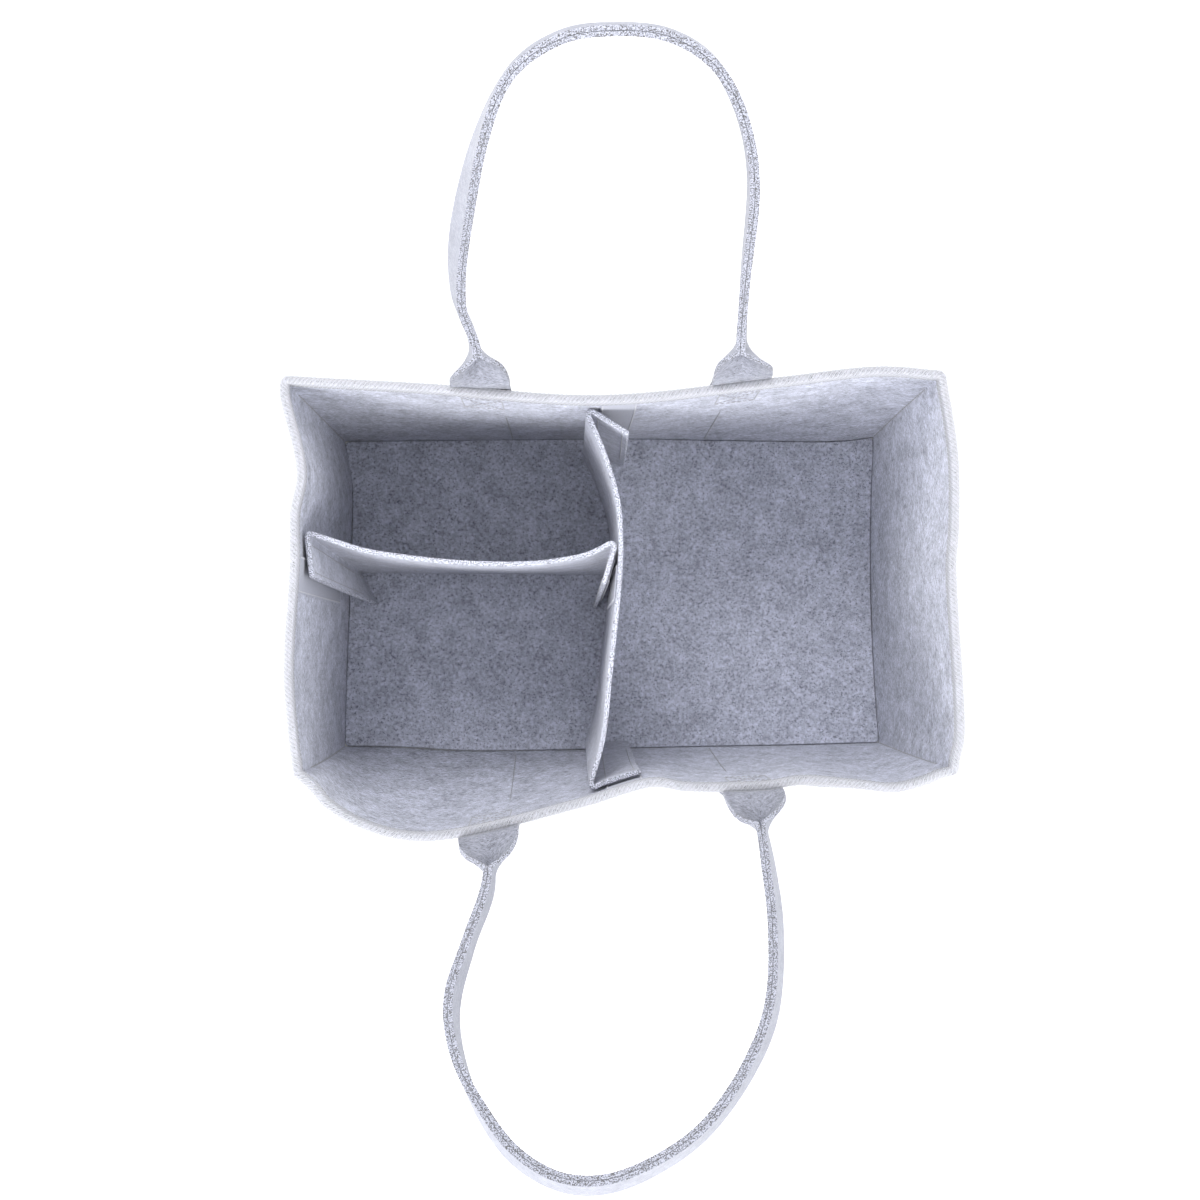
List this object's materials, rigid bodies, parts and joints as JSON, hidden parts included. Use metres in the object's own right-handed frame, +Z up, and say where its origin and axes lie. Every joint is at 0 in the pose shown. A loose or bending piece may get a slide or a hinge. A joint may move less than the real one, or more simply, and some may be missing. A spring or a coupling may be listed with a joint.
{
  "type": "felt diaper caddy",
  "caption": "Open rectangular felt storage box with an overlocked rim, flat pockets on its long sides, folded felt loop handles and tape-held dividers.",
  "frame": {"origin": "middle of the base's underside, on the surface the caddy stands on", "axes": "+X along the long side (picture right), +Y to the long side at the picture's top, +Z up"},
  "size_m": [0.3632, 0.5166, 0.3394],
  "materials": {
    "wall_felt": "thick pale blue-grey felt, matt",
    "base_felt": "mottled grey felt, matt",
    "handle_felt": "pale felt strip with speckled cut edges",
    "divider_felt": "pale felt with speckled cut edges",
    "thread": "spun sewing thread",
    "touch_tape": "brushed hook and loop tape"
  },
  "bodies": {
    "caddy_body": {"back_wall": "wall_felt", "front_wall": "wall_felt", "left_wall": "wall_felt", "right_wall": "wall_felt", "base_panel": "base_felt", "back_pocket_panel": "wall_felt", "front_pocket_panel": "wall_felt", "rim_overlock": "thread", "base_seam": "thread", "back_left_corner_seam": "thread", "back_right_corner_seam": "thread", "front_left_corner_seam": "thread", "front_right_corner_seam": "thread", "back_pocket_hem": "thread", "front_pocket_hem": "thread", "back_left_handle_tab": "handle_felt", "back_left_handle_tack": "thread", "back_right_handle_tab": "handle_felt", "back_right_handle_tack": "thread", "front_left_handle_tab": "handle_felt", "front_left_handle_tack": "thread", "front_right_handle_tab": "handle_felt", "front_right_handle_tack": "thread", "back_wall_loop_strip": "touch_tape", "front_wall_loop_strip": "touch_tape", "left_wall_loop_strip": "touch_tape"},
    "back_handle": {"back_handle": "handle_felt"},
    "front_handle": {"front_handle": "handle_felt"},
    "cross_divider": {"cross_divider": "divider_felt", "divider_loop_strip": "touch_tape", "cross_back_hook_strip": "touch_tape", "cross_front_hook_strip": "touch_tape"},
    "short_divider": {"short_divider": "divider_felt", "short_left_hook_strip": "touch_tape", "short_right_hook_strip": "touch_tape"}
  },
  "joints": [
    {"name": "back_handle_swing", "type": "hinge", "parent": "caddy_body", "child": "back_handle", "pos_m": [-0.00305, 0.10505, 0.177], "axis": [0.9999, 0.0141, 0], "range_deg": [-90, 55]},
    {"name": "front_handle_swing", "type": "hinge", "parent": "caddy_body", "child": "front_handle", "pos_m": [-0.0006, -0.12751, 0.177], "axis": [-0.9924, -0.1228, 0], "range_deg": [-74, 68]},
    {"name": "cross_divider_lift", "type": "slide", "parent": "caddy_body", "child": "cross_divider", "axis": [0, 0, 1], "range_m": [0, 0.174]},
    {"name": "short_divider_lift", "type": "slide", "parent": "caddy_body", "child": "short_divider", "axis": [0, 0, 1], "range_m": [0, 0.174]}
  ]
}
